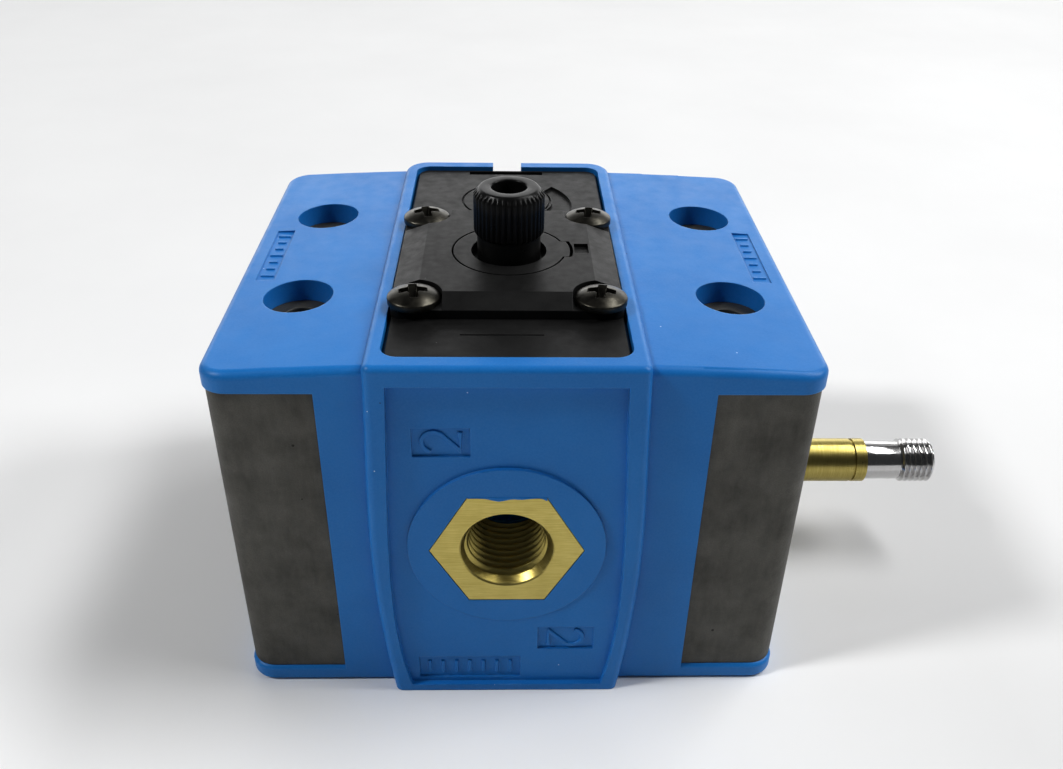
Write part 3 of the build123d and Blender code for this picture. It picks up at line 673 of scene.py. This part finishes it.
def spring(name, node, axis, turns, wire, joint, travel, fixed_end):
    """Round-wire coil in a CAD spring's box."""
    low, high = (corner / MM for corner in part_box(node))
    length = high[axis] - low[axis]
    flat = [k for k in range(3) if k != axis]
    centre = [(low[k] + high[k]) / 2 for k in range(3)]
    radius = (high[flat[0]] - low[flat[0]]) / 2 - wire
    bm = bmesh.new()
    rings = []
    for step in range(turns * COIL_STEPS + 1):
        turn = step / COIL_STEPS
        angle = 2 * math.pi * turn
        rise = coil_rise(turn, turns, wire, length)
        places = []
        for k in range(WIRE_STEPS):
            round_wire = 2 * math.pi * k / WIRE_STEPS
            reach = radius + wire * math.cos(round_wire)
            place = list(centre)
            place[axis] = low[axis] + rise + wire * math.sin(round_wire)
            place[flat[0]] += reach * math.cos(angle)
            place[flat[1]] += reach * math.sin(angle)
            places.append(place)
        rings.append(ring_of(bm, places))
    for one, two in zip(rings, rings[1:]):
        bridge(bm, one, two)
    bm.faces.new(rings[0])
    bm.faces.new(list(reversed(rings[-1])))
    thing = piece(name, bm, "spring_steel", 50.0)
    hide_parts(node)
    anchor = [value * MM for value in centre]
    anchor[axis] = (high if fixed_end == "high" else low)[axis] * MM
    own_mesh(thing)


# name, node, axis, turns, wire radius, joint, its travel, fixed end
SPRINGS = (
    ("return_spring_coil", "return_spring", 2, 5, 0.5, "stem_slide", 2.45, "low"),
    ("armature_spring_coil", "armature_spring", 0, 8, 0.25, "armature_slide", 0.98, "high"),
)
for values in SPRINGS:
    spring(*values)


# ---- raised marks in the moulded pockets --------------------------------------
STROKE_FLARE = 0.12


def stroke(bm, line, half_width, base, height, place):
    """Raised ridge along a polyline; place(u, v, w) puts its flat coordinates in space."""
    foot = half_width + STROKE_FLARE
    section = ((foot, base), (half_width, height), (-half_width, height), (-foot, base))
    rows = []
    for i, (u, v) in enumerate(line):
        before = Vector(line[max(i - 1, 0)])
        after = Vector(line[min(i + 1, len(line) - 1)])
        along = (after - before).normalized()
        across = Vector((-along.y, along.x))
        if 0 < i < len(line) - 1:
            first = (Vector((u, v)) - before).normalized()
            second = (after - Vector((u, v))).normalized()
            corner = math.acos(max(-1.0, min(1.0, first.dot(second))))
            across = across / max(math.cos(corner / 2), 0.6)
        row = []
        for reach, level in section:
            row.append(bm.verts.new(place(u + across.x * reach, v + across.y * reach, level)))
        rows.append(row)
    for one, two in zip(rows, rows[1:]):
        for k in range(4):
            bm.faces.new((one[k], one[(k + 1) % 4], two[(k + 1) % 4], two[k]))
    bm.faces.new(rows[0])
    bm.faces.new(list(reversed(rows[-1])))


def digit_lines(digit):
    """Centre line of a plain digit, one unit wide and 1.6 tall."""
    if digit == "1":
        return [[(0.15, 1.25), (0.55, 1.6), (0.55, 0.0)]]
    arc = []
    for step in range(15):
        angle = math.radians(165 - step * 14.5)
        arc.append((0.5 + 0.5 * math.cos(angle), 1.10 + 0.5 * math.sin(angle)))
    return [arc + [(0.06, 0.0), (1.0, 0.0)]]


PANEL_Y = (37.88, 36.9)
PANEL_Z = (1.3, 58.0)
MARK_DEPTH = 0.3
NUMBER_MARKS = {
    -1: ((-14.4, -6.3, 45.9, 50.7, 1), (3.7, 12.5, 8.4, 13.1, -1)),
    1: ((3.0, 11.1, 45.9, 50.7, 1), (-13.9, -5.1, 8.4, 13.1, -1)),
}
BLANK_MARK = {-1: (-15.1, 1.0, 2.1, 6.7), 1: (-5.0, 10.0, 2.1, 6.7)}


def panel_floor(z_low, z_high):
    lean = (PANEL_Y[0] - PANEL_Y[1]) / (PANEL_Z[1] - PANEL_Z[0])
    return PANEL_Y[0] - lean * (z_low + z_high) / 2 - MARK_DEPTH


def panel_marks(facing, digit, name):
    """Port digits lying on their sides and a plain barred field, on one face."""
    bm = bmesh.new()
    for x_low, x_high, z_low, z_high, turned_to in NUMBER_MARKS[facing]:
        floor = panel_floor(z_low, z_high)
        middle = ((x_low + x_high) / 2, (z_low + z_high) / 2)

        def place(u, v, w, middle=middle, floor=floor, turned_to=turned_to):
            x = middle[0] + facing * turned_to * v
            return (x, facing * (floor + w), middle[1] + turned_to * u)

        size = 3.35
        for line in digit_lines(digit):
            flat = [((u - 0.5) * size, (v - 0.8) * size) for u, v in line]
            stroke(bm, flat, 0.27, -0.08, 0.26, place)
    x_low, x_high, z_low, z_high = BLANK_MARK[facing]
    floor = panel_floor(z_low, z_high)
    count = 7
    for k in range(count):
        x = x_low + 1.6 + (x_high - x_low - 3.2) * k / (count - 1)
        line = [(x, z_low + 1.0), (x, z_high - 1.1)]
        stroke(bm, line, 0.22, -0.08, 0.22, lambda u, v, w: (u, facing * (floor + w), v))
    piece(name, bm, "blue_plastic")


panel_marks(-1, "2", "front_marks")
panel_marks(1, "1", "rear_marks")

WING_MARK_X = 38.7
WING_MARK_FLOOR = 58.78
WING_MARK_HALF = (1.45, 9.25)


def wing_marks():
    """Plain graduation bars in the two pockets on the top flange."""
    bm = bmesh.new()
    for side in (-1, 1):
        count = 7
        for k in range(count):
            y = -WING_MARK_HALF[1] + 1.9 + (2 * WING_MARK_HALF[1] - 3.8) * k / (count - 1)
            reach = 1.0 if k % 3 == 0 else 0.65
            x = side * WING_MARK_X
            line = [(x - reach, y), (x + reach, y)]
            stroke(bm, line, 0.16, -0.05, 0.20, lambda u, v, w: (u, v, WING_MARK_FLOOR + w))
    piece("wing_marks", bm, "blue_plastic")


wing_marks()


def moulding_flash():
    """Thin uneven lip of plastic over the upper edge of the front brass hexagon."""
    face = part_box("port_insert_front")[0].y / MM
    top = PORT_CENTRE[1] + HEX_FLATS / 2
    half = HEX_FLATS / 2 / math.sqrt(3)
    rng = random.Random(5)
    bm = bmesh.new()
    rows = []
    count = 48
    for k in range(count + 1):
        share = k / count
        x = PORT_CENTRE[0] - half + 2 * half * share
        hang = 0.55 * math.exp(-(((share - 0.40) / 0.13) ** 2))
        hang += 0.22 * math.exp(-(((share - 0.68) / 0.10) ** 2))
        hang += 0.45 * math.exp(-(((share - 1.0) / 0.05) ** 2))
        hang += 0.07 + 0.03 * rng.random()
        edge = top - hang
        rows.append(
            ring_of(
                bm,
                [
                    (x, face - 0.02, top + 0.12),
                    (x, face - 0.10, top),
                    (x, face - 0.09, edge + 0.08),
                    (x, face - 0.01, edge),
                    (x, face + 0.10, edge),
                    (x, face + 0.10, top + 0.12),
                ],
            )
        )
    for one, two in zip(rows, rows[1:]):
        bridge(bm, one, two)
    bm.faces.new(rows[0])
    bm.faces.new(list(reversed(rows[-1])))
    piece("moulding_flash", bm, "blue_plastic")


moulding_flash()


# ---- floor, backdrop and lights -----------------------------------------------
FLOOR_TONE = rgb(0.77, 0.77, 0.77)
FLOOR_PAINTED_LIGHT_NEAR = grey(0.88)
FLOOR_PAINTED_SHADE_NEAR_RIGHT = grey(0.72)
FLOOR_PAINTED_SHADE_FAR = grey(0.70)
FLOOR_RADIUS = 4.0
BACKDROP_PROFILE = ((3.9, -0.001), (3.9, 3.0), (0.01, 3.2))  # radius, height in metres
STAGE_STEPS = 96


def floor_white():
    """Matt paper with painted light and shade: lighter in front, darker at the front right and
    darker far behind.
    """
    n = Nodes("floor_white")
    place = n.add("SeparateXYZ", {"Vector": n.object_place}).outputs
    back = n.span(place["Y"], -0.05, 0.10)
    front = n.maths("SUBTRACT", 1.0, back)
    painted_shade_front_right = n.maths("MULTIPLY", n.span(place["X"], 0.02, 0.08), front)
    # Painted light in front and painted shade at the front right and far behind, standing in for
    # how the lamps fall on the floor.
    tone = n.mix(back, FLOOR_PAINTED_LIGHT_NEAR, FLOOR_TONE)
    tone = n.mix(painted_shade_front_right, tone, FLOOR_PAINTED_SHADE_NEAR_RIGHT)
    tone = n.mix(n.span(place["Y"], 0.12, 0.60), tone, FLOOR_PAINTED_SHADE_FAR)
    cloud = n.span(n.noise(0.012, 4), 0.3, 0.7)
    tone = n.mix(n.maths("MULTIPLY", cloud, 0.04), tone, grey(0.0))
    return n.finish(Base_Color=tone, Roughness=0.75, Specular_IOR_Level=0.2)


def backdrop_white():
    n = Nodes("backdrop_white")
    glow = rgb(0.9, 0.9, 0.9)
    return n.finish(Base_Color=grey(0.0), Emission_Color=glow, Emission_Strength=0.95)


def stage_piece(name, bm, material):
    """Links a bmesh in metres as part of the stage, not of the object."""
    mesh = bpy.data.meshes.new(name)
    bm.to_mesh(mesh)
    bm.free()
    thing = bpy.data.objects.new(name, mesh)
    bpy.context.scene.collection.objects.link(thing)
    thing.data.materials.append(material)
    return thing


def make_stage():
    """Round pale floor and a surrounding wall that only the camera sees."""
    bm = bmesh.new()
    bmesh.ops.create_circle(bm, cap_ends=True, radius=FLOOR_RADIUS, segments=STAGE_STEPS)
    floor = stage_piece("floor", bm, floor_white())
    floor.location.z = -0.00005
    bm = bmesh.new()
    rings = []
    for radius, height in BACKDROP_PROFILE:
        angles = [2 * math.pi * i / STAGE_STEPS for i in range(STAGE_STEPS)]
        places = [(radius * math.cos(a), radius * math.sin(a), height) for a in angles]
        rings.append(ring_of(bm, places))
    for lower, upper in zip(rings, rings[1:]):
        bridge(bm, lower, upper)
    backdrop = stage_piece("backdrop", bm, backdrop_white())
    backdrop.visible_diffuse = False
    backdrop.visible_glossy = False
    backdrop.visible_shadow = False


def aim(thing, place, target):
    place, target = Vector(place), Vector(target)
    thing.matrix_world = (
        Matrix.Translation(place) @ (target - place).to_track_quat("-Z", "Y").to_matrix().to_4x4()
    )


def sun(name, towards, strength, spread_degrees):
    data = bpy.data.lights.new(name, "SUN")
    data.energy = strength
    data.angle = math.radians(spread_degrees)
    thing = bpy.data.objects.new(name, data)
    bpy.context.scene.collection.objects.link(thing)
    aim(thing, towards, (0.0, 0.0, 0.0))


def panel(name, place, target, size, watts):
    data = bpy.data.lights.new(name, "AREA")
    data.shape = "RECTANGLE"
    data.size, data.size_y = size
    data.energy = watts
    thing = bpy.data.objects.new(name, data)
    bpy.context.scene.collection.objects.link(thing)
    aim(thing, place, target)
    thing.visible_camera = False


def make_lights():
    sun("left_front_lamp", (-0.58, -0.13, 0.588), 1.50, 9.0)
    sun("right_lamp", (0.80, 0.07, 0.60), 1.27, 18.0)
    panel("overhead_strip", (0.64, 0.17, 1.20), (0.0, 0.0, 0.0), (0.9, 0.26), 9.6)
    panel("back_panel", (0.0, 3.0, 0.80), (0.0, 0.0, 0.6), (6.4, 1.60), 76.0)
    panel("upper_back_panel", (0.0, 2.4, 2.0), (0.0, 0.0, 0.0), (4.2, 0.70), 6.0)
    world = bpy.data.worlds.new("studio")
    world.use_nodes = True
    world.node_tree.nodes["Background"].inputs["Color"].default_value = rgb(0.92, 0.96, 1.0)
    world.node_tree.nodes["Background"].inputs["Strength"].default_value = 0.07
    bpy.context.scene.world = world


make_stage()
make_lights()
bpy.context.scene.view_settings.view_transform = "Standard"
bpy.context.scene.view_settings.gamma = 0.86
